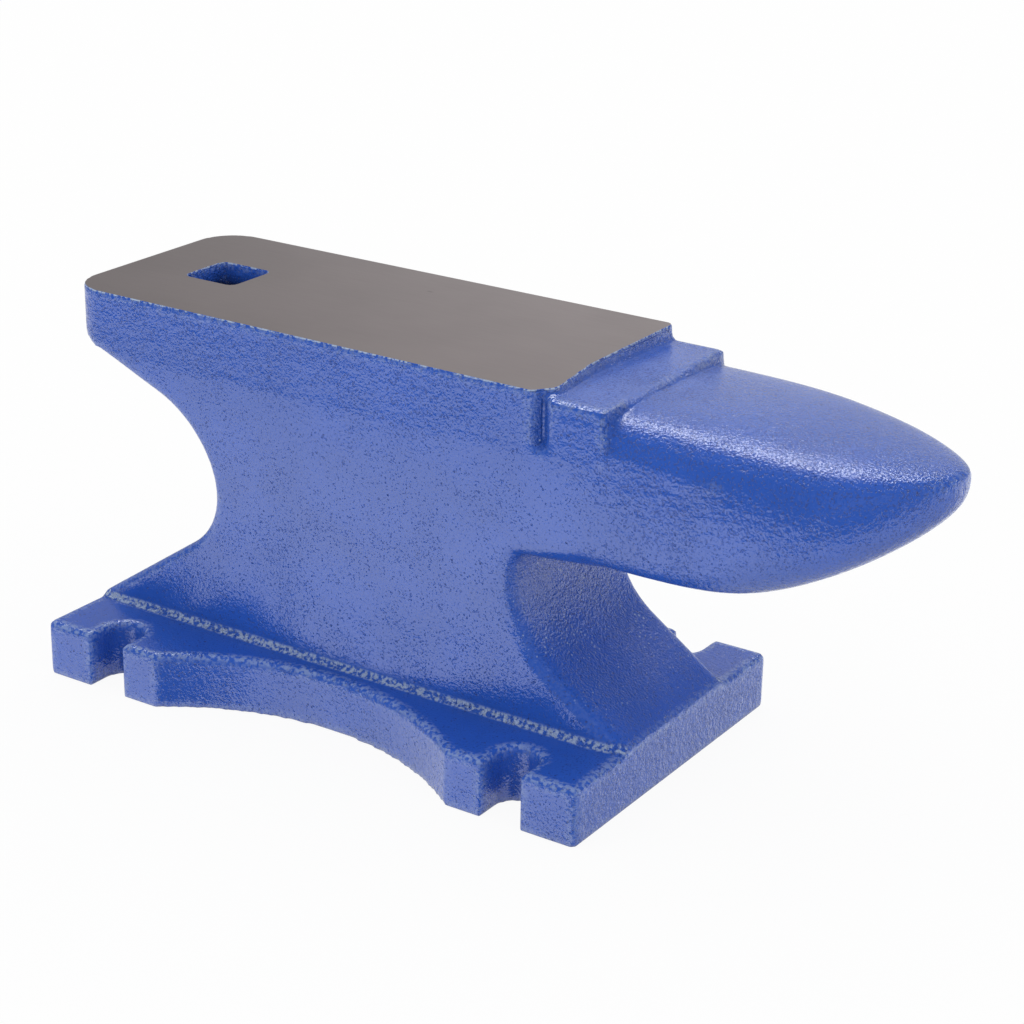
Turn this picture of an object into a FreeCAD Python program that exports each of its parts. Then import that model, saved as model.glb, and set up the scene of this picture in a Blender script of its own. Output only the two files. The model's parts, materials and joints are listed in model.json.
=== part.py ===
"""Shop anvil: one steel casting with a hardened face plate welded on top.

Millimetres, +Z up, +X towards the horn. The origin is the centre of the base's underside.
Each function makes one piece, or one form of the casting, and every piece is written to parts/.
"""
import FreeCAD, Part
import math
import os
from FreeCAD import Vector

# ---- base flange ----
base_length = 258.6
base_width = 146.0
base_thickness = 23.5
base_corner_radius = 2.5
base_edge_radius = 2.0
bolt_slot_width = 17.0          # open slots for M16 bolts
bolt_slot_depth = 19.3          # from the long side of the base to the slot's round end
bolt_slot_rear_inset = 32.3     # slot centres from the base's ends
bolt_slot_front_inset = 32.8
bolt_slot_land = 17.3           # from a slot to the curved cut-out in the base's long side
side_cut_waist = 97.4           # width of the base that is left between the two cut-outs

# ---- waist and heel of the casting ----
seat_height = 139.3             # the face plate lies on the casting at this height
body_width = 100.0              # over the plate's seat
waist_width = 78.6              # across the narrow lower waist
waist_low_height = 50.0         # the sides are upright below this height
foot_land = 1.2                 # upright land between the base's top and the end flares
foot_fillet_radius = 2.5        # hollow corner where the waist's sides stand on the base
foot_fillet_inset = 10.3        # it stops this far from the base's ends
foot_slope = 34.3               # degrees, the flares that run out to the base's ends
heel_slope = 23.3               # degrees, underside of the heel
heel_tip_rise = 5.3             # the heel's slope cuts the plate's rear end this far above the seat
rear_throat_radius = 38.2
front_throat_radius = 40.0
front_throat_lean = 12.0        # degrees off upright where the waist meets the horn
throat_corner_radius = 6.0
throat_straight = 0.5           # straight wall that is always left between the two
front_arris_radius = 6.0        # long edges of the casting, from the front foot to the horn
horn_arris_radius = 18.0        # the same edges under the horn's root, where they are fuller
rear_arris_radius = 3.0         # from the rear foot to the heel

# ---- face plate ----
plate_rear = -130.6
plate_front = 93.0              # the table and the horn follow this end
plate_thickness = 23.4
plate_rear_radius = 17.0
plate_left_radius = 2.5         # front corner on the left
plate_nose_set_back = 1.6       # the right front corner is cut back from here
plate_nose_corner_radius = 1.0
plate_nose_reach = 4.6          # and reaches out this far before it joins the straight front
plate_nose_inset = 8.5          # from the plate's right side
plate_nose_back = 11.0          # from the middle line
plate_nose_radius = 5.0
plate_nose_blend = 60.0
plate_edge_radius = 0.8
hardy_hole = 25.0
hardy_hole_inset = 42.1         # centre of the hole from the plate's rear end

# ---- welds ----
groove_depth = 6.0              # how far the weld groove reaches in under the plate
groove_height = 4.2
heel_weld_width = 6.0
front_weld_leg = 1.8
front_weld_right = 3.0          # the run goes this far to the right of the middle
front_weld_left_inset = 6.0     # and stops this far from the left side

# ---- table ----
table_length_right = 28.8       # from the plate's front; the table's front edge runs a little askew
table_length_left = 22.8
table_drop = 3.95               # below the plate's top, at the middle
table_fall = 2.06               # degrees, the table is ground lower on the left
table_side_draft = 0.8          # each side leans in by this much at the top
table_corner_gap = 1.0          # the right rear corner stands off the plate's front
table_corner_radius = 9.0
table_left_radius = 1.5
table_join_right_inset = 10.0   # the table meets the plate's front wall to here from each side
table_join_left_inset = 5.0
notch_rise = 1.7                # floor of the notch beside the corner, above the seat

# ---- horn ----
horn_start = 19.0               # the horn's own surface starts this far from the plate, inside the block
horn_length = 125.6
horn_root_depth = 44.3          # from the seat down to the underside of the horn's root
throat_set_back = 11.6          # from the plate's front back to the corner of the throat
block_length = 26.5             # the body under the table ends this far from the plate, inside the horn
horn_fullness = 0.2             # its control points stand this far outside the casting's sides
# Control rows, as shares of the sizes above: place along the horn's length, half width of the body's,
# top of the table's height above the seat, widest line and bottom of the root's depth below the seat.
# Then the squareness of the right shoulder, the left shoulder and the underside, and the degrees by
# which the top falls to the left.
horn_rows = (
    (0.000, 1.020, 0.925, 0.368, 1.000, 4.6, 8.0, 4.6, 4.0),
    (0.111, 1.020, 0.920, 0.368, 1.014, 4.6, 8.0, 4.4, 4.0),
    (0.334, 1.016, 0.900, 0.323, 1.050, 4.4, 6.8, 4.0, 3.2),
    (0.525, 0.988, 0.818, 0.255, 1.000, 3.8, 5.0, 3.4, 2.4),
    (0.748, 0.852, 0.674, 0.120, 0.702, 3.2, 3.4, 2.8, 1.6),
    (0.940, 0.452, 0.519, -0.016, 0.296, 2.8, 2.8, 2.4, 1.2),
    (1.000, 0.160, 0.478, -0.106, 0.056, 2.4, 2.4, 2.2, 1.2),
    (1.000, 0.030, 0.319, -0.106, -0.072, 2.0, 2.0, 2.0, 1.2),
)
horn_poles_around = 16
ledge_rise = 7.2                # low ledge along each side of the horn's root, above the seat
ledge_length = 54.0
ledge_fall = 4.0                # how far the ledge drops by its far end
ledge_inset = 1.0               # its outer face lies this far inside the body's side
ledge_side = 0.3                # and draws in by this much by its far end
ledge_depth = 6.3               # its blank starts this far below the seat, inside the horn

# ---- working sizes ----
overrun = 5.0                   # blanks run this far past the faces that trim them
table_root = 1.0                # how deep the table's blank reaches into the body below it
REACH = 200.0                   # longer than any cut needs
TOUCH = 0.01                    # edges and faces this near to each other count as one

# ---- derived ----
half_base = base_length / 2
half_body = body_width / 2
half_waist = waist_width / 2
plate_top = seat_height + plate_thickness
table_height = plate_top - table_drop
notch_floor = seat_height + notch_rise
ledge_height = seat_height + ledge_rise
ledge_blank = seat_height - ledge_depth
heel_tip_height = seat_height + heel_tip_rise
horn_underside = seat_height - horn_root_depth
throat_front = plate_front - throat_set_back
block_front = plate_front + block_length
horn_root = plate_front + horn_start
ledge_end = horn_root + ledge_length
hardy_hole_centre = plate_rear + hardy_hole_inset
foot_fillet_end = half_base - foot_fillet_inset
bolt_slot_rear = bolt_slot_rear_inset - half_base
bolt_slot_front = half_base - bolt_slot_front_inset
block_top = plate_top + overrun
table_start = plate_front - overrun
table_blank = notch_floor - table_root


def along(u, v):
    """Place of an outline point in the side view (u along X, v up)."""
    return Vector(u, 0, v)


def across(u, v):
    """Place of an outline point in the end view (u along Y, v up)."""
    return Vector(0, u, v)


def flat(u, v):
    """Place of an outline point in the plan (u along X, v along Y)."""
    return Vector(u, v, 0)


def outline(corners, place):
    """Flat face inside straight runs joined by arcs; a corner is (u, v, radius), 0 for a sharp one."""
    count = len(corners)
    starts = []
    ends = []
    arcs = []
    for i in range(count):
        u, v, radius = corners[i]
        here = place(u, v)
        before = (place(*corners[i - 1][:2]) - here).normalize()
        after = (place(*corners[(i + 1) % count][:2]) - here).normalize()
        if radius <= 0:
            starts.append(here)
            ends.append(here)
            arcs.append(None)
            continue
        half_angle = before.getAngle(after) / 2
        tangent = radius / math.tan(half_angle)
        middle = (before + after).normalize()
        crown = here + middle * (radius / math.sin(half_angle) - radius)
        starts.append(here + before * tangent)
        ends.append(here + after * tangent)
        arcs.append(crown)
    edges = []
    for i in range(count):
        if arcs[i]:
            edges.append(Part.Arc(starts[i], arcs[i], ends[i]).toShape())
        following = (i + 1) % count
        if ends[i].distanceToPoint(starts[following]) > 1e-6:
            edges.append(Part.LineSegment(ends[i], starts[following]).toShape())
    return Part.Face(Part.Wire(edges))


def side_extrusion(corners, half_width=REACH / 2):
    """Side-view outline carried straight across the anvil."""
    face = outline(corners, along)
    face.translate(Vector(0, -half_width, 0))
    return face.extrude(Vector(0, 2 * half_width, 0))


def end_extrusion(corners, rear, front):
    """End-view outline carried along the anvil."""
    face = outline(corners, across)
    face.translate(Vector(rear, 0, 0))
    return face.extrude(Vector(front - rear, 0, 0))


def plan_extrusion(corners, low, high):
    """Plan outline carried upwards."""
    face = outline(corners, flat)
    face.translate(Vector(0, 0, low))
    return face.extrude(Vector(0, 0, high - low))


def box(rear, front, right, left, low, high):
    return Part.makeBox(front - rear, left - right, high - low, Vector(rear, right, low))


# ---- the body's drafted sides ----
# Each side is upright at the foot and at the seat, with one smooth S between them.
swing_height = seat_height - waist_low_height
swing_depth = half_body - half_waist


def half_width_at(height):
    """Half width of the casting's body at a height."""
    share = (height - waist_low_height) / swing_height
    share = max(0.0, min(1.0, share))
    return half_waist + swing_depth * (3 * share ** 2 - 2 * share ** 3)


def drafted_sides(rear, front, top):
    """Bar along X with the casting's end-view outline."""
    edges = []
    for side in (-1, 1):
        foot = across(side * half_waist, 0)
        low = across(side * half_waist, waist_low_height)
        low_handle = across(side * half_waist, waist_low_height + swing_height / 3)
        high_handle = across(side * half_body, seat_height - swing_height / 3)
        seat = across(side * half_body, seat_height)
        swing = Part.BezierCurve()
        swing.setPoles([low, low_handle, high_handle, seat])
        edges.append(Part.LineSegment(foot, low).toShape())
        edges.append(swing.toShape())
        edges.append(Part.LineSegment(seat, across(side * half_body, top)).toShape())
    edges.append(Part.LineSegment(across(-half_waist, 0), across(half_waist, 0)).toShape())
    edges.append(Part.LineSegment(across(-half_body, top), across(half_body, top)).toShape())
    face = Part.Face(Part.Wire(Part.__sortEdges__(edges)))
    face.translate(Vector(rear, 0, 0))
    return face.extrude(Vector(front - rear, 0, 0))


def make_base():
    """Base flange with its curved side cut-outs and open bolt slots."""
    flange = plan_extrusion(
        (
            (-half_base, -base_width / 2, base_corner_radius),
            (half_base, -base_width / 2, base_corner_radius),
            (half_base, base_width / 2, base_corner_radius),
            (-half_base, base_width / 2, base_corner_radius),
        ), 0, base_thickness)
    # each cut-out is an arc that runs out of the long side at a land from the slots
    cut_half = half_base - bolt_slot_rear_inset - bolt_slot_width / 2 - bolt_slot_land
    cut_depth = (base_width - side_cut_waist) / 2
    cut_radius = (cut_half ** 2 + cut_depth ** 2) / (2 * cut_depth)
    for side in (-1, 1):
        centre = side * (side_cut_waist / 2 + cut_radius)
        flange = flange.cut(Part.makeCylinder(cut_radius, base_thickness, Vector(0, centre, 0)))
    inner = base_width / 2 - bolt_slot_depth + bolt_slot_width / 2
    for slot in (bolt_slot_rear, bolt_slot_front):
        for side in (-1, 1):
            near = min(side * inner, side * base_width)
            far = max(side * inner, side * base_width)
            rear = slot - bolt_slot_width / 2
            straight = box(rear, rear + bolt_slot_width, near, far, 0, base_thickness)
            end = Part.makeCylinder(bolt_slot_width / 2, base_thickness, Vector(slot, side * inner, 0))
            flange = flange.cut(straight.fuse(end))
    top_edges = []
    for edge in flange.Edges:
        if edge.BoundBox.ZMin > base_thickness - TOUCH:
            top_edges.append(edge)
    return flange.makeFillet(base_edge_radius, top_edges)


def make_foot_fillets():
    """Hollow corner along each side of the waist's foot."""
    fillets = []
    for side in (-1, 1):
        root = side * half_waist
        crest = side * (half_waist + foot_fillet_radius)
        top = base_thickness + foot_fillet_radius
        near = min(root, crest)
        far = max(root, crest)
        bar = box(-foot_fillet_end, foot_fillet_end, near, far, base_thickness, top)
        hollow = Part.makeCylinder(foot_fillet_radius, 2 * foot_fillet_end,
                                   Vector(-foot_fillet_end, crest, top), Vector(1, 0, 0))
        fillets.append(bar.cut(hollow))
    return fillets[0].fuse(fillets[1])


# ---- lines of the side view ----
heel_grade = math.tan(math.radians(heel_slope))
foot_grade = math.tan(math.radians(foot_slope))
foot_height = base_thickness + foot_land
heel_end = plate_rear + (heel_tip_height - seat_height) / heel_grade
# rear throat: the heel's slope meets the rear foot's slope
heel_reach = heel_grade * heel_end - foot_grade * half_base
rear_corner_x = (seat_height - foot_height + heel_reach) / (heel_grade + foot_grade)
rear_corner_z = foot_height + foot_grade * (rear_corner_x + half_base)
# front throat: the front foot's slope meets the leaning front of the waist
lean_grade = math.tan(math.radians(front_throat_lean))
front_drop = horn_underside - foot_height - foot_grade * half_base
front_corner_x = (throat_front - lean_grade * front_drop) / (1 + lean_grade * foot_grade)
front_corner_z = foot_height + foot_grade * (half_base - front_corner_x)


def front_throat():
    """Radius of the front throat, limited by the leaning wall above it."""
    foot = along(half_base, foot_height)
    low = along(front_corner_x, front_corner_z)
    high = along(throat_front, horn_underside)
    under_horn = along(block_front, horn_underside)
    low_half = (foot - low).getAngle(high - low) / 2
    high_half = (low - high).getAngle(under_horn - high) / 2
    wall = (high - low).Length - throat_corner_radius / math.tan(high_half) - throat_straight
    return min(front_throat_radius, wall * math.tan(low_half))


def make_waist():
    """Waist, heel and the body under the table: the side-view outline cut to the drafted sides."""
    waist = side_extrusion(
        (
            (-half_base, base_thickness / 2, 0),
            (half_base, base_thickness / 2, 0),
            (half_base, foot_height, 0),
            (front_corner_x, front_corner_z, front_throat()),
            (throat_front, horn_underside, throat_corner_radius),
            (block_front, horn_underside, 0),
            (block_front, notch_floor, 0),
            (table_start, notch_floor, 0),
            (table_start, seat_height, 0),
            (heel_end, seat_height, 0),
            (rear_corner_x, rear_corner_z, rear_throat_radius),
            (-half_base, foot_height, 0),
        ))
    rear = min(-half_base, heel_end) - 1
    front = max(half_base, block_front) + 1
    return round_arrises(waist.common(drafted_sides(rear, front, block_top)))


def is_arris(edge):
    """True for an edge where a side meets a throat, a flare, the heel or the horn's underside."""
    start = edge.firstVertex().Point
    end = edge.lastVertex().Point
    inboard = min(abs(start.y), abs(end.y)) < half_waist - TOUCH
    upright = abs(start.x - end.x) < TOUCH
    buried = max(start.z, end.z) < foot_height + TOUCH
    side_seam = abs(start.z - end.z) < TOUCH and abs(start.z - horn_underside) > TOUCH
    return not (inboard or upright or buried or side_seam)


def front_radius_at(point):
    """Radius of the front arris at one of its corners: fuller under the horn than up the throat."""
    return front_arris_radius if point.z < horn_underside - TOUCH else horn_arris_radius


def growing_fillet(waist, edges):
    """Front arris with a radius that grows under the horn."""
    document = FreeCAD.newDocument("arris")
    source = document.addObject("Part::Feature", "waist")
    source.Shape = waist
    fillet = document.addObject("Part::Fillet", "fillet")
    fillet.Base = source
    radii = []
    for number, edge in enumerate(waist.Edges, 1):
        if any(edge.isSame(picked) for picked in edges):
            start = front_radius_at(edge.firstVertex(True).Point)
            end = front_radius_at(edge.lastVertex(True).Point)
            radii.append((number, start, end))
    fillet.Edges = radii
    document.recompute()
    rounded = fillet.Shape.copy()
    FreeCAD.closeDocument(document.Name)
    return rounded


def round_arrises(waist):
    """Rounds the casting's long edges, more in front than behind."""
    rear = [edge for edge in waist.Edges if is_arris(edge) and edge.CenterOfMass.x < 0]
    waist = waist.makeFillet(rear_arris_radius, rear)
    front = [edge for edge in waist.Edges if is_arris(edge) and edge.CenterOfMass.x > 0]
    return growing_fillet(waist, front)


def plate_blank(low, high):
    """The plate's plan: round rear corners, a cut right front corner and a square left one."""
    return plan_extrusion(
        (
            (plate_rear, -half_body, plate_rear_radius),
            (plate_front - plate_nose_set_back, -half_body, plate_nose_corner_radius),
            (plate_front + plate_nose_reach, plate_nose_inset - half_body, plate_nose_radius),
            (plate_front, -plate_nose_back, plate_nose_blend),
            (plate_front, half_body, plate_left_radius),
            (plate_rear, half_body, plate_rear_radius),
        ), low, high)


def make_table():
    """Raised table ahead of the plate, ground to fall a little to the left."""
    half = half_body - table_side_draft
    rise = half * math.tan(math.radians(table_fall))
    block = end_extrusion(
        (
            (-half_body, table_blank, 0),
            (half_body, table_blank, 0),
            (half, table_height - rise, 0),
            (-half, table_height + rise, 0),
        ), table_start, REACH)
    join_left = half_body - table_join_left_inset
    join_right = table_join_right_inset - half_body
    rounded = plan_extrusion(
        (
            (plate_front + table_corner_gap, -half_body, table_corner_radius),
            (plate_front + table_length_right, -half_body, 0),
            (plate_front + table_length_left, half_body, 0),
            (plate_front, half_body, table_left_radius),
            (plate_front, join_left, 0),
            (table_start, join_left, 0),
            (table_start, join_right, 0),
            (plate_front + table_corner_gap, join_right, 0),
        ), table_blank, block_top)
    return block.common(rounded)


def horn_ring(place, width, top, widest, bottom, square_right, square_left, square_below, fall):
    """Control points of one squared-oval section of the horn, kept inside the casting's sides."""
    x = horn_root + place * horn_length
    half_width = width * half_body
    widest = seat_height - widest * horn_root_depth
    above = seat_height + top * (table_height - seat_height) - widest
    below = widest - (seat_height - bottom * horn_root_depth)
    ring = []
    for i in range(horn_poles_around):
        angle = 2 * math.pi * i / horn_poles_around
        cosine = math.cos(angle)
        sine = math.sin(angle)
        if sine >= 0:
            power = 2 / (square_left if cosine > 0 else square_right)
            height = above
        else:
            power = 2 / square_below
            height = below
        y = half_width * math.copysign(abs(cosine) ** power, cosine)
        rise = math.copysign(abs(sine) ** power, sine)
        z = widest + height * rise
        limit = half_width_at(z) + horn_fullness
        if rise > 0:
            z -= y * rise * math.tan(math.radians(fall))
        ring.append(Vector(x, max(-limit, min(limit, y)), z))
    return ring


def make_horn():
    """Horn: one smooth surface over its control rows, closed by flat ends at the root and the blunt tip."""
    rows = [horn_ring(*row) for row in horn_rows]
    spans = len(rows) - 3
    along_knots = list(range(spans + 1))
    along_multiplicity = [4] + [1] * (spans - 1) + [4]
    around_knots = list(range(horn_poles_around + 1))
    around_multiplicity = [1] * (horn_poles_around + 1)
    surface = Part.BSplineSurface()
    surface.buildFromPolesMultsKnots(rows, along_multiplicity, around_multiplicity,
                                     along_knots, around_knots, False, True, 3, 3)
    skin = surface.toShape()
    faces = [skin]
    for end in (horn_root, horn_root + horn_length):
        rim = []
        for edge in skin.Edges:
            if edge.BoundBox.XLength < TOUCH and abs(edge.BoundBox.XMin - end) < TOUCH:
                rim.append(edge)
        faces.append(Part.Face(Part.Wire(rim)))
    shell = Part.makeShell(faces)
    shell.sewShape()
    return Part.makeSolid(shell)


def make_ledges():
    """Low ledge along each side of the horn's root, running out into the horn."""
    side_view = side_extrusion(
        (
            (horn_root, ledge_blank, 0),
            (ledge_end, ledge_blank, 0),
            (ledge_end, ledge_height - ledge_fall, 0),
            (horn_root, ledge_height, 0),
        ))
    outer = half_body - ledge_inset
    plan = plan_extrusion(
        (
            (horn_root, -outer, 0),
            (ledge_end, -outer + ledge_side, 0),
            (ledge_end, outer - ledge_side, 0),
            (horn_root, outer, 0),
        ), ledge_blank, block_top)
    return side_view.common(plan)


def hardy_shaft():
    """Square bar that stands for the hole through the plate and the heel."""
    half = hardy_hole / 2
    return box(hardy_hole_centre - half, hardy_hole_centre + half, -half, half, rear_corner_z, block_top)


def side_groove(side):
    """Wedge under one long edge of the plate; the weld fills it flush with the casting's side."""
    inner = side * (half_body - groove_depth)
    outer = side * (half_body + groove_depth)
    low = seat_height - 2 * groove_height
    return end_extrusion(((inner, seat_height, 0), (outer, seat_height, 0), (outer, low, 0)),
                         plate_rear, plate_front - plate_nose_set_back)


def heel_groove():
    """The thin tip of the heel under the plate, which is built up in weld metal."""
    return box(plate_rear, heel_end + heel_weld_width, -half_body, half_body, rear_corner_z, seat_height)


def make_casting_and_welds():
    """The casting with its weld grooves, and the three runs that fill them."""
    whole = make_base().fuse(make_foot_fillets()).fuse(make_waist())
    whole = whole.fuse(make_table()).fuse(make_horn()).fuse(make_ledges())
    whole = whole.cut(hardy_shaft()).cut(plate_blank(seat_height, block_top))
    right = side_groove(-1)
    left = side_groove(1)
    heel = heel_groove().cut(right).cut(left)
    grooves = heel.fuse(right).fuse(left)
    pieces = {"cast_body": whole.cut(grooves)}
    pieces["side_weld_right"] = whole.common(right)
    pieces["side_weld_left"] = whole.common(left)
    pieces["heel_weld"] = whole.common(heel)
    return pieces


def make_face_plate():
    """Hardened plate with a bevelled rear end and the hardy hole."""
    plate = plate_blank(seat_height, plate_top)
    top_edges = [edge for edge in plate.Edges if edge.BoundBox.ZMin > plate_top - TOUCH]
    plate = plate.makeFillet(plate_edge_radius, top_edges)
    run = 2 * groove_depth
    bevel = side_extrusion(
        (
            (heel_end + run, seat_height - run * heel_grade, 0),
            (plate_rear - run, heel_tip_height + run * heel_grade, 0),
            (plate_rear - run, seat_height - run * heel_grade, 0),
        ))
    return plate.cut(bevel).cut(hardy_shaft())


def make_front_weld():
    """Small fillet weld between the plate's front wall and the table's sloping top."""
    weld = side_extrusion(
        (
            (plate_front, table_height, 0),
            (plate_front + front_weld_leg, table_height, 0),
            (plate_front, table_height + front_weld_leg, 0),
        ))
    weld.rotate(Vector(0, 0, table_height), Vector(1, 0, 0), -table_fall)
    left = half_body - front_weld_left_inset
    return weld.common(box(table_start, block_front, -front_weld_right, left, 0, REACH))


def main():
    os.makedirs("parts", exist_ok=True)
    pieces = make_casting_and_welds()
    pieces["face_plate"] = make_face_plate()
    pieces["front_weld"] = make_front_weld()
    for name, shape in pieces.items():
        shape.exportStep("parts/" + name + ".step")
        print(name, shape.isValid(), len(shape.Solids), round(shape.Volume / 1000, 1), "cm3")


if __name__ == "__main__":
    main()
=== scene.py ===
"""Blue enamelled shop anvil: the casting, its ground face plate and its weld runs, on a plain stage."""

import json
import math

import bpy
import numpy as np
from mathutils import Matrix, Vector


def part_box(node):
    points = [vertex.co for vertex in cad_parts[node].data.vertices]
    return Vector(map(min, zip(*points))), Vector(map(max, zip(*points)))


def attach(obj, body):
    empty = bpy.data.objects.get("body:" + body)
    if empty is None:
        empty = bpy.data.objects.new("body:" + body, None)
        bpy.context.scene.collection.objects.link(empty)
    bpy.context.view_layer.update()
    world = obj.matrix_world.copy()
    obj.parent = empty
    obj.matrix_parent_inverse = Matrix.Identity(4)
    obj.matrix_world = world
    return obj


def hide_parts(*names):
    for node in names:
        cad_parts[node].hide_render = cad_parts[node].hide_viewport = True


bl_info = {
    "name": "Shop Anvil",
    "version": (1, 0, 0),
    "blender": (4, 5, 0),
    "location": "3D View > Sidebar > Anvil",
    "description": "Finishes a cast anvil: enamelled casting, ground face plate and weld runs",
    "category": "Object",
}

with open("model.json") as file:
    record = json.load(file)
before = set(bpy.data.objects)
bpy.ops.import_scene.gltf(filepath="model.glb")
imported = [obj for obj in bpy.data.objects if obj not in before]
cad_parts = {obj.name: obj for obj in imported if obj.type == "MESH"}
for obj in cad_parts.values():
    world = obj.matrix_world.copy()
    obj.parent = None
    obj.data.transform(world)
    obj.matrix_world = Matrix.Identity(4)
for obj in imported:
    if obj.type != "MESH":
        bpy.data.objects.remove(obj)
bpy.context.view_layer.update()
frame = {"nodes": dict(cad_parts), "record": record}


def opening_box(name):
    """Lowest and highest corner of one of the record's openings, in metres."""
    opening = next(one for one in frame["record"]["physics"]["openings"] if one["name"] == name)
    return [Vector(corner) for corner in opening["box_m"]]


PLATE_LOW, PLATE_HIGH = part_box("face_plate")
BODY_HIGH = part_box("cast_body")[1]
FRONT_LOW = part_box("front_weld")[0]
HOLE_LOW, HOLE_HIGH = opening_box("hardy_hole")
WELDS = ("side_weld_right", "side_weld_left", "heel_weld", "front_weld")

# Heights on the casting, and how far the throat reaches to each side and ahead, in metres
BASE_TOP = 0.0235
THROAT_LOW = 0.026
THROAT_TOP = 0.085
THROAT_HALF = 0.042
THROAT_FRONT = BODY_HIGH.x * 0.6

# How far the plate and the welds are let into the casting, so that the union leaves no seam
MERGE_DEPTH = 0.0004
WELD_SWELL = 0.0001

# Curvatures, per metre, at which an edge or a hollow begins and is full, and how far it spreads
GENTLE_TURN = 80.0
SHARP_TURN = 240.0
EDGE_SPREAD = 2
SPREAD_FADE = 0.85

# The top cut: vertices this near the level count as on it, and cut corners closer than this are joined
CUT_EXACTNESS = 0.000001
CUT_CORNERS = 0.0001

# The softbox: the way to it, the way its long side runs, what it is turned to and how far off it is
SOFTBOX_WAY = Vector((-0.311, 0.4, 0.86)).normalized()
SOFTBOX_LONG_SIDE = Vector((0.85, 0.52, 0.07))
SOFTBOX_AIM = Vector((0.05, 0.0, 0.1))
SOFTBOX_DISTANCE = 1.3

SMOOTH_ANGLE = math.radians(60)
# Colour of the painted shade deep in the hardy hole
HOLE_SHADE = (0.006, 0.006, 0.010, 1.0)
MARK_DARK = (0.08, 0.07, 0.07, 1.0)


# ---- sizes and colours a user would change ----

class CastingSettings(bpy.types.PropertyGroup):
    grain: bpy.props.FloatProperty(
        name="Grain", description="Spacing of the casting's surface mesh",
        default=0.0013, unit="LENGTH")
    softening: bpy.props.IntProperty(
        name="Softening", description="Smoothing passes that round the cast edges and corners", default=5)
    parting_rise: bpy.props.FloatProperty(
        name="Parting Rise", description="Height of the parting line down the middle of the front throat",
        default=0.0016, unit="LENGTH")


class PlateSettings(bpy.types.PropertyGroup):
    ground_off: bpy.props.FloatProperty(
        name="Ground Off", description="Depth that grinding takes off the rough top",
        default=0.0009, unit="LENGTH")
    steel: bpy.props.FloatVectorProperty(
        name="Steel", description="Colour of the ground face", subtype="COLOR", size=4,
        default=(0.285, 0.24, 0.243, 1.0))


class EnamelSettings(bpy.types.PropertyGroup):
    colour: bpy.props.FloatVectorProperty(
        name="Enamel", description="Colour of the enamel where it is thick", subtype="COLOR", size=4,
        default=(0.021, 0.084, 0.415, 1.0))
    # Also the colour of the painted shade in the casting's hollows and creases
    pit_and_shade_colour: bpy.props.FloatVectorProperty(
        name="Pits", description="Colour at the bottom of the casting's pits", subtype="COLOR", size=4,
        default=(0.012, 0.03, 0.16, 1.0))
    # Also the colour of the painted highlights along edges, the base's top rim, the foot bead and the throat
    wear_and_highlight_colour: bpy.props.FloatVectorProperty(
        name="Worn Edge", description="Colour where grinding feathered the enamel", subtype="COLOR", size=4,
        default=(0.45, 0.55, 0.68, 1.0))
    relief: bpy.props.FloatProperty(
        name="Relief", description="Depth of the casting's pits and grain", default=0.0003, unit="LENGTH")


class StageSettings(bpy.types.PropertyGroup):
    azimuth: bpy.props.FloatProperty(
        name="Azimuth", description="Camera's angle round the anvil", subtype="ANGLE",
        default=math.radians(33.07))
    elevation: bpy.props.FloatProperty(
        name="Elevation", description="Camera's angle above the floor", subtype="ANGLE",
        default=math.radians(21.77))
    roll: bpy.props.FloatProperty(
        name="Roll", description="Camera's tilt to one side", subtype="ANGLE",
        default=math.radians(1.04))
    distance: bpy.props.FloatProperty(
        name="Distance", description="From the camera to the point it is turned to",
        default=1.0644, unit="LENGTH")
    lens: bpy.props.FloatProperty(
        name="Lens", description="Focal length on a 36 mm wide sensor", default=86.76)
    target: bpy.props.FloatVectorProperty(
        name="Target", description="Point the camera is turned to", subtype="TRANSLATION", size=3,
        default=(0.0, 0.0797, 0.0528))
    softbox: bpy.props.FloatProperty(
        name="Softbox", description="Brightness of the softbox behind the anvil", default=10.0)
    surround: bpy.props.FloatProperty(
        name="Surround", description="Brightness of the white surround", default=1.03)


# ---- shader maths ----

class Number:
    """A value that travels through a shader's nodes; arithmetic on it adds Math nodes."""

    def __init__(self, shader, socket):
        self.shader = shader
        self.socket = socket

    def _math(self, operation, first, second):
        return self.shader.node("ShaderNodeMath", {"operation": operation}, {0: first, 1: second})

    def __add__(self, other):
        return self._math("ADD", self, other)

    def __radd__(self, other):
        return self._math("ADD", other, self)

    def __sub__(self, other):
        return self._math("SUBTRACT", self, other)

    def __rsub__(self, other):
        return self._math("SUBTRACT", other, self)

    def __mul__(self, other):
        return self._math("MULTIPLY", self, other)

    def __rmul__(self, other):
        return self._math("MULTIPLY", other, self)

    def at_least(self, other):
        return self._math("MAXIMUM", self, other)

    def at_most(self, other):
        return self._math("MINIMUM", self, other)


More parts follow.
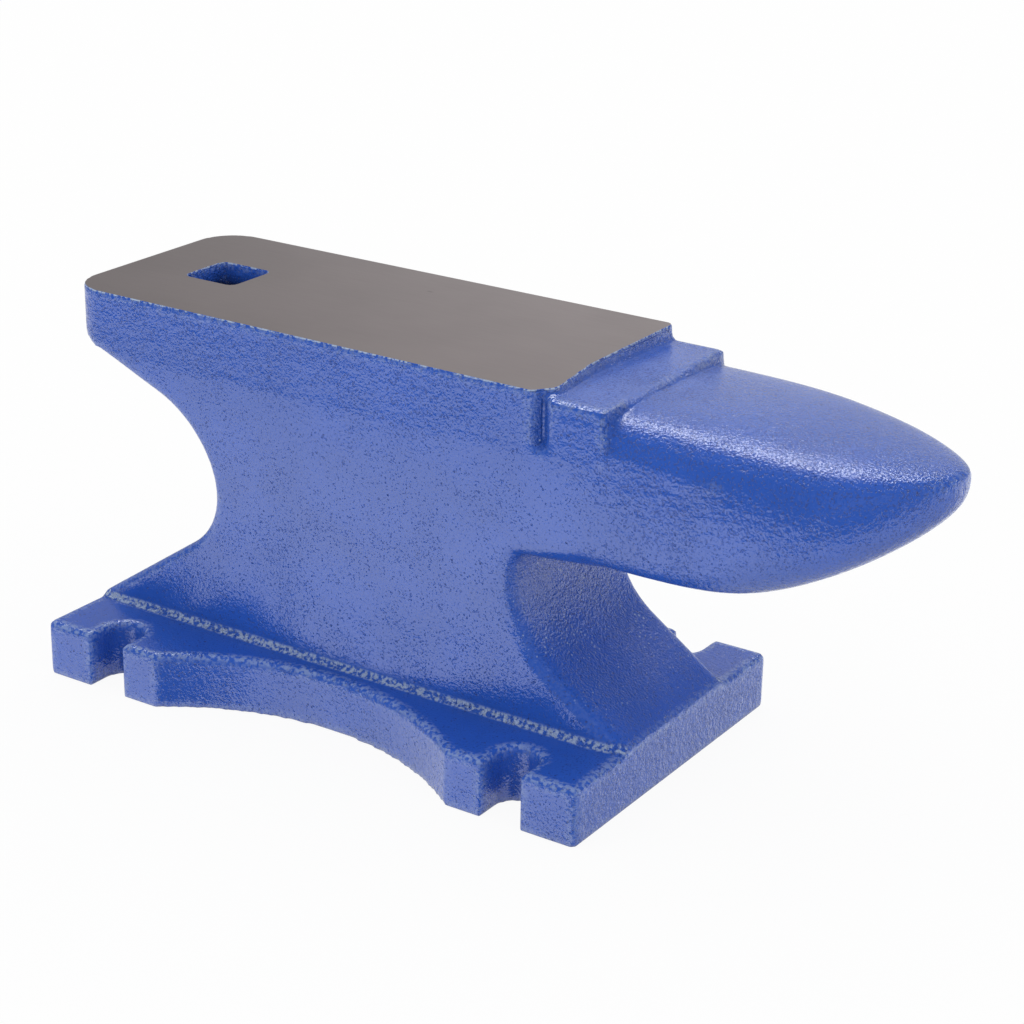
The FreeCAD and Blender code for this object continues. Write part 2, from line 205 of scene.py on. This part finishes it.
class Shader:
    """Builds one material's or the world's nodes."""

    def __init__(self, tree):
        self.tree = tree
        tree.nodes.clear()

    def node(self, kind, settings=None, values=None, output=0):
        """Adds a node: its settings first, then the values or links of its sockets."""
        node = self.tree.nodes.new(kind)
        for name, value in (settings or {}).items():
            setattr(node, name, value)
        for name, value in (values or {}).items():
            if isinstance(value, Number):
                self.tree.links.new(value.socket, node.inputs[name])
            else:
                node.inputs[name].default_value = value
        return Number(self, node.outputs[output]) if len(node.outputs) else None

    def place(self):
        return self.node("ShaderNodeTexCoord", output="Object")

    def split(self, vector):
        """The vector's three parts."""
        first = self.node("ShaderNodeSeparateXYZ", values={0: vector})
        return [Number(self, socket) for socket in first.socket.node.outputs]

    def attribute(self, name, output="Fac"):
        return self.node("ShaderNodeAttribute", {"attribute_name": name}, output=output)

    def stretched(self, vector, scale):
        return self.node("ShaderNodeMapping", values={"Vector": vector, "Scale": scale})

    def noise(self, vector, size, detail=2.0):
        """Noise whose features are about size metres across."""
        return self.node("ShaderNodeTexNoise", values={
            "Vector": vector, "Scale": 1.0 / size, "Detail": detail})

    def cells(self, vector, size):
        """Distance to the nearest of scattered points that stand about size metres apart."""
        return self.node("ShaderNodeTexVoronoi", values={
            "Vector": vector, "Scale": 1.0 / size}, output="Distance")

    def band(self, value, low, high, low_result=0.0, high_result=1.0):
        """Runs smoothly from low_result to high_result as value goes from low to high."""
        return self.node("ShaderNodeMapRange", {"interpolation_type": "SMOOTHSTEP"}, {
            "Value": value, 1: low, 2: high, 3: low_result, 4: high_result})

    def slab(self, value, low, high, low_fade, high_fade):
        """One between low and high, fading to nought over low_fade below and high_fade above."""
        return self.band(value, low - low_fade, low) * self.band(value, high, high + high_fade, 1.0, 0.0)

    def mix(self, factor, first, second):
        """Blends two colours."""
        return self.node("ShaderNodeMix", {"data_type": "RGBA"}, {0: factor, 6: first, 7: second}, output=2)

    def bump(self, height, depth):
        """Raises the surface by height times depth, in metres."""
        return self.node("ShaderNodeBump", values={"Strength": 1.0, "Distance": depth, "Height": height})

    def surface(self, **values):
        """The finished shader; its names are the sockets' names with underscores."""
        named = {name.replace("_", " "): value for name, value in values.items()}
        shader = self.node("ShaderNodeBsdfPrincipled", values=named)
        self.node("ShaderNodeOutputMaterial", values={"Surface": shader})


def new_material(name):
    material = bpy.data.materials.new(name)
    material.use_nodes = True
    return material, Shader(material.node_tree)


def scaled(colour, factor):
    """The colour made lighter or darker."""
    return tuple(min(1.0, part * factor) for part in colour[:3]) + (1.0,)


def painted_hole_shade(shader, place, up):
    """Painted shade: one deep in the hardy hole, on its walls only, and nought at its two mouths."""
    x, y, z = shader.split(place)
    across = shader.slab(x, HOLE_LOW.x - 0.002, HOLE_HIGH.x + 0.002, 0.001, 0.001)
    across = across * shader.band(y * y, HOLE_HIGH.y ** 2 * 1.2, HOLE_HIGH.y ** 2 * 1.3, 1.0, 0.0)
    walls = shader.band(up * up, 0.1, 0.3, 1.0, 0.0)
    return across * walls * shader.slab(z, HOLE_LOW.z + 0.022, PLATE_HIGH.z - 0.012, 0.008, 0.009)


def enamel_material():
    """Glossy enamel over a sand casting: fine dots, a few pores and a gentle relief, rougher on the horn,
    with painted shade in hollows and deep in the hardy hole, and painted highlights on edges, the foot bead
    and the throat.
    """
    settings = bpy.context.scene.anvil_enamel
    material, shader = new_material("blue_enamel")
    place = shader.place()
    x, y, z = shader.split(place)
    ahead, sideways, up = shader.split(shader.attribute("facing", "Vector"))
    edge = shader.attribute("edge")
    hollow = shader.attribute("hollow")

    # Regions of the casting
    horn = shader.band(x, BODY_HIGH.x * 0.38, BODY_HIGH.x * 0.6)
    plate = shader.band(z, PLATE_LOW.z - 0.02, PLATE_HIGH.z)
    lip = shader.band(z, PLATE_HIGH.z - 0.0007, PLATE_HIGH.z - 0.0003)
    throat = shader.band(ahead, 0.25, 0.6) * shader.band(z, THROAT_LOW, THROAT_LOW + 0.012)
    throat = throat * shader.band(x, BODY_HIGH.x * 0.55, THROAT_FRONT, 1.0, 0.0)
    foot = shader.slab(z, BASE_TOP + 0.0004, BASE_TOP + 0.002, 0.0006, 0.0015)
    foot = foot * shader.band(sideways * sideways, 0.02, 0.2)
    rim = shader.slab(z, BASE_TOP - 0.001, BASE_TOP, 0.001, 0.0003)

    # The casting's pits and grain
    patches = shader.band(shader.noise(place, 0.02), 0.35, 0.65)
    coarse = (patches * 0.4 + horn * 0.5 + plate * 0.25).at_most(1.0)
    fine_dots = shader.band(shader.noise(place, 0.0009, 1.0) + coarse * 0.1, 0.64, 0.74)
    round_dots = shader.cells(place, 0.0023) + shader.noise(place, 0.005, 1.0) * 0.4
    dots = (fine_dots * 0.7).at_least(shader.band(round_dots, 0.26, 0.36, 1.0, 0.0))
    pores = shader.band(shader.cells(place, 0.009), 0.03, 0.06, 1.0, 0.0)
    calm = 1.0 - shader.band(up, 0.5, 0.85) * 0.85
    hammered = horn * shader.band(up, 0.55, 0.8, 1.0, 0.0) * 0.9
    relief_level = 0.6 + coarse * 0.8 + hammered + throat * 1.6
    grain_level = 0.45 + coarse * 0.7 + edge * 0.35 + throat * 1.6 + foot * 5.0
    relief = shader.noise(place, 0.0028) * relief_level * calm
    grain = shader.noise(place, 0.0010, 1.5) * grain_level
    normal = shader.bump((relief + grain - dots * 0.5 - pores * 0.6) * (1.0 - lip), settings.relief)

    # Colour, with painted shade and painted highlights
    pit_and_shade_colour = tuple(settings.pit_and_shade_colour)
    tone = shader.band(shader.noise(place, 0.03, 3.0), 0.3, 0.7)
    colour = shader.mix(tone, tuple(settings.colour), scaled(settings.colour, 1.12))
    # Painted shade: hollows and creases darkened towards the pit colour, except at the foot bead
    colour = shader.mix(hollow * (1.0 - foot) * 0.3, colour, pit_and_shade_colour)
    colour = shader.mix((dots * 0.6 + pores * 0.8).at_most(0.9), colour, pit_and_shade_colour)
    # Pale colour: worn enamel feathered at the ground lip, and painted highlights along edges, the base's
    # top rim and the foot bead
    wear_and_highlights = lip * 0.8 + edge * (0.2 + rim * 0.2) + foot * 0.65
    wear_and_highlights = shader.band(shader.noise(place, 0.0016), 0.4, 0.6) * wear_and_highlights.at_most(0.8)
    # Painted glints: scattered bright specks in the throat
    glint_cells = shader.cells(place, 0.0024) + shader.noise(place, 0.01, 1.0) * 0.5
    painted_glints = shader.band(glint_cells, 0.3, 0.42, 1.0, 0.0) * throat * 0.45
    colour = shader.mix(wear_and_highlights.at_least(painted_glints), colour, tuple(settings.wear_and_highlight_colour))
    # Painted shade: the hardy hole's walls darken towards near-black with depth
    colour = shader.mix(painted_hole_shade(shader, place, up), colour, HOLE_SHADE)
    roughness = 0.12 + (dots + pores).at_most(1.0) * 0.4 * calm
    shader.surface(Base_Color=colour, Roughness=roughness, Normal=normal, IOR=1.5)
    return material


def ground_steel_material():
    """Surface-ground steel: fine straight lines from the wheel over a warm grey, with a few small marks."""
    settings = bpy.context.scene.anvil_plate
    material, shader = new_material("bare_steel")
    place = shader.place()
    lines = shader.noise(shader.stretched(place, (0.05, 1.0, 1.0)), 0.0007, 3.0)
    clouds = shader.noise(place, 0.05)
    tone = shader.band(clouds, 0.3, 0.7) * 0.7 + lines * 0.3
    colour = shader.mix(tone, scaled(settings.steel, 0.88), tuple(settings.steel))
    marks = shader.band(shader.cells(shader.stretched(place, (0.5, 1.0, 1.0)), 0.04), 0.02, 0.04, 1.0, 0.0)
    colour = shader.mix(marks * 0.6, colour, MARK_DARK)
    normal = shader.bump(lines, 0.00001)
    shader.surface(Base_Color=colour, Metallic=1.0, Roughness=0.26 + lines * 0.1, Normal=normal)
    return material


def shared_material(name, build):
    """The material of that name, made by build the first time."""
    return bpy.data.materials.get(name) or build()


# ---- modelling helpers ----

def clear_selection():
    if bpy.context.mode != "OBJECT":
        bpy.ops.object.mode_set(mode="OBJECT")
    bpy.ops.object.select_all(action="DESELECT")


def work_on(piece):
    clear_selection()
    piece.select_set(True)
    bpy.context.view_layer.objects.active = piece


def copy_of_node(node, name):
    """A piece of its own with the node's shape, its loose triangles merged."""
    source = frame["nodes"][node]
    mesh = source.data.copy()
    mesh.name = name
    mesh.materials.clear()
    piece = bpy.data.objects.new(name, mesh)
    bpy.context.scene.collection.objects.link(piece)
    work_on(piece)
    bpy.ops.mesh.customdata_custom_splitnormals_clear()
    bpy.ops.object.mode_set(mode="EDIT")
    bpy.ops.mesh.select_all(action="SELECT")
    bpy.ops.mesh.remove_doubles(threshold=0.000005)
    bpy.ops.mesh.normals_make_consistent(inside=False)
    bpy.ops.object.mode_set(mode="OBJECT")
    return piece


def apply_modifier(piece, name, kind, settings):
    work_on(piece)
    modifier = piece.modifiers.new(name, kind)
    for key, value in settings.items():
        setattr(modifier, key, value)
    bpy.ops.object.modifier_apply(modifier=modifier.name)


def select_faces(piece, wanted):
    """Enters edit mode with just the faces for which wanted(face) is true selected."""
    work_on(piece)
    mesh = piece.data
    mesh.vertices.foreach_set("select", [False] * len(mesh.vertices))
    mesh.edges.foreach_set("select", [False] * len(mesh.edges))
    mesh.polygons.foreach_set("select", [bool(wanted(face)) for face in mesh.polygons])
    bpy.ops.object.mode_set(mode="EDIT")
    bpy.ops.mesh.select_mode(type="FACE")


def remove(piece):
    mesh = piece.data
    bpy.data.objects.remove(piece)
    bpy.data.meshes.remove(mesh)


def rough_plate(name):
    """The plate before grinding: its top left higher and its underside let into the casting."""
    extra = bpy.context.scene.anvil_plate.ground_off
    plate = copy_of_node("face_plate", name)
    select_faces(plate, lambda face: face.center.z > PLATE_HIGH.z - 0.001)
    bpy.ops.transform.translate(value=(0.0, 0.0, extra))
    bpy.ops.object.mode_set(mode="OBJECT")
    select_faces(plate, lambda face: face.normal.z < -0.99)
    bpy.ops.transform.translate(value=(0.0, 0.0, -MERGE_DEPTH))
    bpy.ops.object.mode_set(mode="OBJECT")
    return plate


def swollen_weld(node, name):
    """A weld run grown a little, so that it runs into both its neighbours."""
    weld = copy_of_node(node, name)
    bpy.ops.object.mode_set(mode="EDIT")
    bpy.ops.mesh.select_all(action="SELECT")
    bpy.ops.transform.shrink_fatten(value=WELD_SWELL)
    bpy.ops.object.mode_set(mode="OBJECT")
    return weld


def make_skin(name):
    """The whole anvil in one even mesh with cast-soft edges, as the paint covers it."""
    settings = bpy.context.scene.anvil_casting
    skin = copy_of_node("cast_body", name)
    others = [swollen_weld(node, name) for node in WELDS]
    for other in [rough_plate(name)] + others:
        apply_modifier(skin, "union", "BOOLEAN", {
            "operation": "UNION", "solver": "MANIFOLD", "object": other})
        remove(other)
    apply_modifier(skin, "grain", "REMESH", {
        "mode": "VOXEL", "voxel_size": settings.grain, "adaptivity": 0.0})
    apply_modifier(skin, "softening", "SMOOTH", {"factor": 0.5, "iterations": settings.softening})
    draft_throat(skin)
    mark_edges(skin)
    return skin


def draft_throat(skin):
    """Raises the mould's parting line down the middle of the front throat, with draft to each side."""
    mesh = skin.data
    places = np.empty(len(mesh.vertices) * 3)
    normals = np.empty(len(mesh.vertices) * 3)
    mesh.vertices.foreach_get("co", places)
    mesh.vertex_normals.foreach_get("vector", normals)
    x, y, z = places.reshape(-1, 3).T
    ends = np.clip((z - THROAT_LOW) / 0.03, 0.0, 1.0) * np.clip((THROAT_TOP - z) / 0.02, 0.0, 1.0)
    facing = np.clip((normals[0::3] - 0.2) / 0.4, 0.0, 1.0) * (x < THROAT_FRONT)
    middle = np.clip(1.0 - np.abs(y) / THROAT_HALF, 0.0, 1.0)
    places[0::3] += bpy.context.scene.anvil_casting.parting_rise * ends * facing * middle
    mesh.vertices.foreach_set("co", places)
    mesh.update()


def make_plate_room(name):
    """The space that the plate takes up: its own form with no hole, grown past its outer faces."""
    room = copy_of_node("face_plate", name)
    margin = 0.005
    select_faces(room, lambda face: abs(face.normal.z) < 0.1
                 and abs(face.center.y) < HOLE_HIGH.y + margin
                 and HOLE_LOW.x - margin < face.center.x < HOLE_HIGH.x + margin)
    bpy.ops.mesh.delete(type="FACE")
    bpy.ops.mesh.select_all(action="SELECT")
    bpy.ops.mesh.fill_holes(sides=0)
    bpy.ops.mesh.select_all(action="SELECT")
    bpy.ops.mesh.normals_make_consistent(inside=False)
    bpy.ops.mesh.quads_convert_to_tris()
    bpy.ops.object.mode_set(mode="OBJECT")
    fixed = Vector((FRONT_LOW.x, 0.0, PLATE_LOW.z))
    growth = Matrix.Diagonal((1.02, 1.05, 1.2, 1.0))
    room.data.transform(Matrix.Translation(fixed) @ growth @ Matrix.Translation(-fixed))
    return room


def mark_edges(piece):
    """Writes the attributes "edge" and "hollow", how sharply the surface turns out and in, and "facing"."""
    mesh = piece.data
    count = len(mesh.vertices)
    places = np.empty(count * 3)
    normals = np.empty(count * 3)
    ends = np.empty(len(mesh.edges) * 2, dtype=int)
    mesh.vertices.foreach_get("co", places)
    mesh.vertex_normals.foreach_get("vector", normals)
    mesh.edges.foreach_get("vertices", ends)
    places, normals, ends = places.reshape(-1, 3), normals.reshape(-1, 3), ends.reshape(-1, 2)
    turn = np.zeros(count)
    for first, second in (ends.T, ends.T[::-1]):
        way = places[second] - places[first]
        length_squared = np.maximum(np.einsum("ij,ij->i", way, way), 1e-12)
        drop = -np.einsum("ij,ij->i", way, normals[first]) / length_squared
        turn += np.bincount(first, drop, count)
    turn *= 2.0 / np.maximum(np.bincount(ends.ravel(), minlength=count), 1)
    for name, amount in (("edge", turn), ("hollow", -turn)):
        level = np.clip((amount - GENTLE_TURN) / (SHARP_TURN - GENTLE_TURN), 0.0, 1.0)
        for step in range(EDGE_SPREAD):
            wider = level.copy()
            np.maximum.at(wider, ends[:, 0], level[ends[:, 1]] * SPREAD_FADE)
            np.maximum.at(wider, ends[:, 1], level[ends[:, 0]] * SPREAD_FADE)
            level = wider
        mesh.attributes.new(name, "FLOAT", "POINT").data.foreach_set("value", level)
    mesh.attributes.new("facing", "FLOAT_VECTOR", "POINT").data.foreach_set("vector", normals.ravel())


def finish_faces(piece, is_ground=None):
    """Enamel all over, and ground steel where is_ground(face) is true."""
    piece.data.materials.clear()
    piece.data.materials.append(shared_material("blue_enamel", enamel_material))
    if is_ground:
        piece.data.materials.append(shared_material("bare_steel", ground_steel_material))
    for face in piece.data.polygons:
        face.material_index = 1 if is_ground and is_ground(face) else 0


def hand_over(piece, slot, *nodes):
    """Attaches the piece to the root body and hides the CAD nodes that it stands for."""
    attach(piece, "root")
    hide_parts(*nodes)


# ---- the pieces ----

class ANVIL_OT_casting(bpy.types.Operator):
    """Casting: cast-soft edges under enamel, with the weld runs dressed flush and painted over"""
    bl_idname = "anvil.casting"
    bl_label = "Casting"

    def execute(self, context):
        piece = make_skin("casting")
        room = make_plate_room("plate_room")
        apply_modifier(piece, "seat", "BOOLEAN", {
            "operation": "DIFFERENCE", "solver": "MANIFOLD", "object": room})
        remove(room)
        self.thin_underside(piece)
        finish_faces(piece)
        work_on(piece)
        bpy.ops.object.shade_smooth_by_angle(angle=SMOOTH_ANGLE)
        hand_over(piece, "enamel", "cast_body", *WELDS)
        return {"FINISHED"}

    @staticmethod
    def thin_underside(piece):
        """Leaves the flat underside with only the faces that its outline needs."""
        select_faces(piece, lambda face: face.normal.z < -0.999 and face.center.z < 0.0001)
        bpy.ops.mesh.dissolve_limited(angle_limit=math.radians(1))
        bpy.ops.object.mode_set(mode="OBJECT")


class ANVIL_OT_face_plate(bpy.types.Operator):
    """Hardened face plate: enamelled walls and a top ground bare and flat"""
    bl_idname = "anvil.face_plate"
    bl_label = "Face Plate"

    def execute(self, context):
        piece = make_skin("plate")
        room = make_plate_room("plate_room")
        apply_modifier(piece, "seat", "BOOLEAN", {
            "operation": "INTERSECT", "solver": "MANIFOLD", "object": room})
        remove(room)
        self.grind_top(piece, PLATE_HIGH.z)
        work_on(piece)
        bpy.ops.object.shade_smooth_by_angle(angle=SMOOTH_ANGLE, keep_sharp_edges=True)
        finish_faces(piece, lambda face: face.center.z > PLATE_HIGH.z - 0.00001)
        hand_over(piece, "ground_steel", "face_plate")
        return {"FINISHED"}

    @staticmethod
    def grind_top(piece, level):
        """Takes the top off at one level and closes it with a flat face."""
        select_faces(piece, lambda face: True)
        bpy.ops.mesh.select_mode(type="EDGE")
        bpy.ops.mesh.bisect(
            plane_co=(0.0, 0.0, level), plane_no=(0.0, 0.0, 1.0), clear_outer=True,
            threshold=CUT_EXACTNESS)
        bpy.ops.mesh.remove_doubles(threshold=CUT_CORNERS)
        bpy.ops.mesh.mark_sharp()
        bpy.ops.mesh.fill()
        bpy.ops.mesh.beautify_fill()
        bpy.ops.mesh.faces_shade_flat()
        bpy.ops.object.mode_set(mode="OBJECT")


class ANVIL_OT_stage(bpy.types.Operator):
    """Floor, surround, softbox and camera"""
    bl_idname = "anvil.stage"
    bl_label = "Stage"

    def execute(self, context):
        settings = context.scene.anvil_stage
        self.make_floor()
        self.make_world(context, settings)
        self.make_softbox(settings)
        self.make_camera(context, settings)
        context.scene.view_settings.view_transform = "Standard"
        return {"FINISHED"}

    @staticmethod
    def make_floor():
        clear_selection()
        bpy.ops.mesh.primitive_plane_add(size=6.0)
        floor = bpy.context.active_object
        floor.name = "floor"
        material, shader = new_material("pale_floor")
        seen = shader.node("ShaderNodeLightPath", output="Is Camera Ray")
        lit = shader.node("ShaderNodeBsdfDiffuse", values={"Color": (0.8, 0.8, 0.8, 1.0)})
        white = shader.node("ShaderNodeEmission", values={"Color": (1.0, 1.0, 1.0, 1.0), "Strength": 1.0})
        mixed = shader.node("ShaderNodeMixShader", values={0: seen * 0.93, 1: lit, 2: white})
        shader.node("ShaderNodeOutputMaterial", values={"Surface": mixed})
        floor.data.materials.append(material)
        # Reflections show the world's own floor instead
        floor.visible_glossy = False

    @staticmethod
    def make_world(context, settings):
        world = bpy.data.worlds.new("surround")
        world.use_nodes = True
        context.scene.world = world
        shader = Shader(world.node_tree)
        direction = shader.node("ShaderNodeTexCoord", output="Generated")
        x, y, z = shader.split(direction)
        # What reflections show: the room's walls, behind the anvil first
        behind = shader.band(y, -0.5, 0.15)
        left = shader.band(x, -0.35, 0.1, 1.0, 0.0)
        left_wall = shader.band(x, -0.68, -0.46, 0.45, 0.85) * shader.band(z, 0.42, 0.62, 1.0, 0.6)
        right_wall = shader.band(z, -0.35, 0.35, 1.4, 0.27)
        wall = right_wall + (left_wall - right_wall) * left
        room = 0.15 + (wall - 0.15) * behind
        # The white floor, below a horizon that rises towards the front right
        floor_near = shader.band(y, -0.6, 0.4, 2.7, 1.4) * shader.band(x, -0.68, -0.5, 0.78, 1.0)
        floor_level = floor_near * shader.band(z, -0.95, -0.6, 0.65, 1.0)
        floor_level = floor_level * (1.0 - shader.band(y, 0.3, 0.6) * shader.band(z, -0.6, -0.42, 0.5, 0.0))
        horizon = z + shader.band(x, -0.3, 0.6, 0.0, 0.42) * (1.0 - behind)
        glossy_level = room + (floor_level - room) * shader.band(horizon, -0.31, -0.2, 1.0, 0.0)
        # A window behind on the right, and a faint fill in front
        window = shader.band(x * 0.764 + y * 0.643 - z * 0.05, 0.972, 0.99) * 2.2
        front_fill = shader.band(x * 0.66 - y * 0.68 + z * 0.32, 0.88, 0.97) * 0.45
        glossy_level = glossy_level + window + front_fill
        glossy = shader.node("ShaderNodeLightPath", output="Is Glossy Ray")
        seen = shader.node("ShaderNodeLightPath", output="Is Camera Ray")
        # Diffuse light comes evenly from all round, a little more from above
        overcast = settings.surround * shader.band(z, 0.0, 0.9, 0.9, 1.15)
        level = overcast + (glossy_level - overcast) * glossy
        strength = level + (1.0 - level) * seen
        light = shader.node("ShaderNodeBackground", values={
            "Color": (1.0, 1.0, 1.0, 1.0), "Strength": strength})
        shader.node("ShaderNodeOutputWorld", values={"Surface": light})

    @staticmethod
    def make_softbox(settings):
        softbox = bpy.data.lights.new("softbox", "AREA")
        softbox.shape = "RECTANGLE"
        softbox.size = 1.2
        softbox.size_y = 0.42
        softbox.energy = settings.softbox * math.pi * softbox.size * softbox.size_y
        lamp = bpy.data.objects.new("softbox", softbox)
        bpy.context.scene.collection.objects.link(lamp)
        across = SOFTBOX_WAY.cross(SOFTBOX_LONG_SIDE).normalized()
        turn = Matrix((across.cross(SOFTBOX_WAY), across, SOFTBOX_WAY)).transposed().to_4x4()
        lamp.matrix_world = Matrix.Translation(SOFTBOX_AIM + SOFTBOX_WAY * SOFTBOX_DISTANCE) @ turn
        lamp.visible_diffuse = False
        lit = bpy.data.collections.new("softbox_lights")
        lit.objects.link(bpy.data.objects["casting"])
        lamp.light_linking.receiver_collection = lit

    @staticmethod
    def make_camera(context, settings):
        azimuth, elevation, roll = settings.azimuth, settings.elevation, settings.roll
        back = Vector((
            math.sin(azimuth) * math.cos(elevation),
            -math.cos(azimuth) * math.cos(elevation),
            math.sin(elevation)))
        level_right = Vector((math.cos(azimuth), math.sin(azimuth), 0.0))
        level_up = back.cross(level_right)
        right = math.cos(roll) * level_right + math.sin(roll) * level_up
        up = math.cos(roll) * level_up - math.sin(roll) * level_right
        lens = bpy.data.cameras.new("camera")
        lens.sensor_width = 36.0
        lens.lens = settings.lens
        lens.clip_start = 0.01
        camera = bpy.data.objects.new("camera", lens)
        context.scene.collection.objects.link(camera)
        turn = Matrix((right, up, back)).transposed().to_4x4()
        camera.matrix_world = Matrix.Translation(Vector(settings.target) + back * settings.distance) @ turn
        context.scene.camera = camera


class ANVIL_PT_sidebar(bpy.types.Panel):
    """Buttons for the anvil's pieces and its stage"""
    bl_idname = "ANVIL_PT_sidebar"
    bl_label = "Shop Anvil"
    bl_space_type = "VIEW_3D"
    bl_region_type = "UI"
    bl_category = "Anvil"

    def draw(self, context):
        for operator in OPERATORS:
            self.layout.operator(operator.bl_idname)
        for name in SETTINGS:
            group = getattr(context.scene, name)
            box = self.layout.box()
            for key in group.__annotations__:
                box.prop(group, key)


SETTINGS = {
    "anvil_casting": CastingSettings,
    "anvil_plate": PlateSettings,
    "anvil_enamel": EnamelSettings,
    "anvil_stage": StageSettings,
}
OPERATORS = (ANVIL_OT_casting, ANVIL_OT_face_plate, ANVIL_OT_stage)


def register():
    for name, group in SETTINGS.items():
        bpy.utils.register_class(group)
        setattr(bpy.types.Scene, name, bpy.props.PointerProperty(type=group))
    for operator in OPERATORS:
        bpy.utils.register_class(operator)
    bpy.utils.register_class(ANVIL_PT_sidebar)


def unregister():
    bpy.utils.unregister_class(ANVIL_PT_sidebar)
    for operator in reversed(OPERATORS):
        bpy.utils.unregister_class(operator)
    for name, group in SETTINGS.items():
        delattr(bpy.types.Scene, name)
        bpy.utils.unregister_class(group)


def main():
    register()
    bpy.ops.anvil.casting()
    bpy.ops.anvil.face_plate()
    bpy.ops.anvil.stage()


if __name__ == "__main__":
    main()
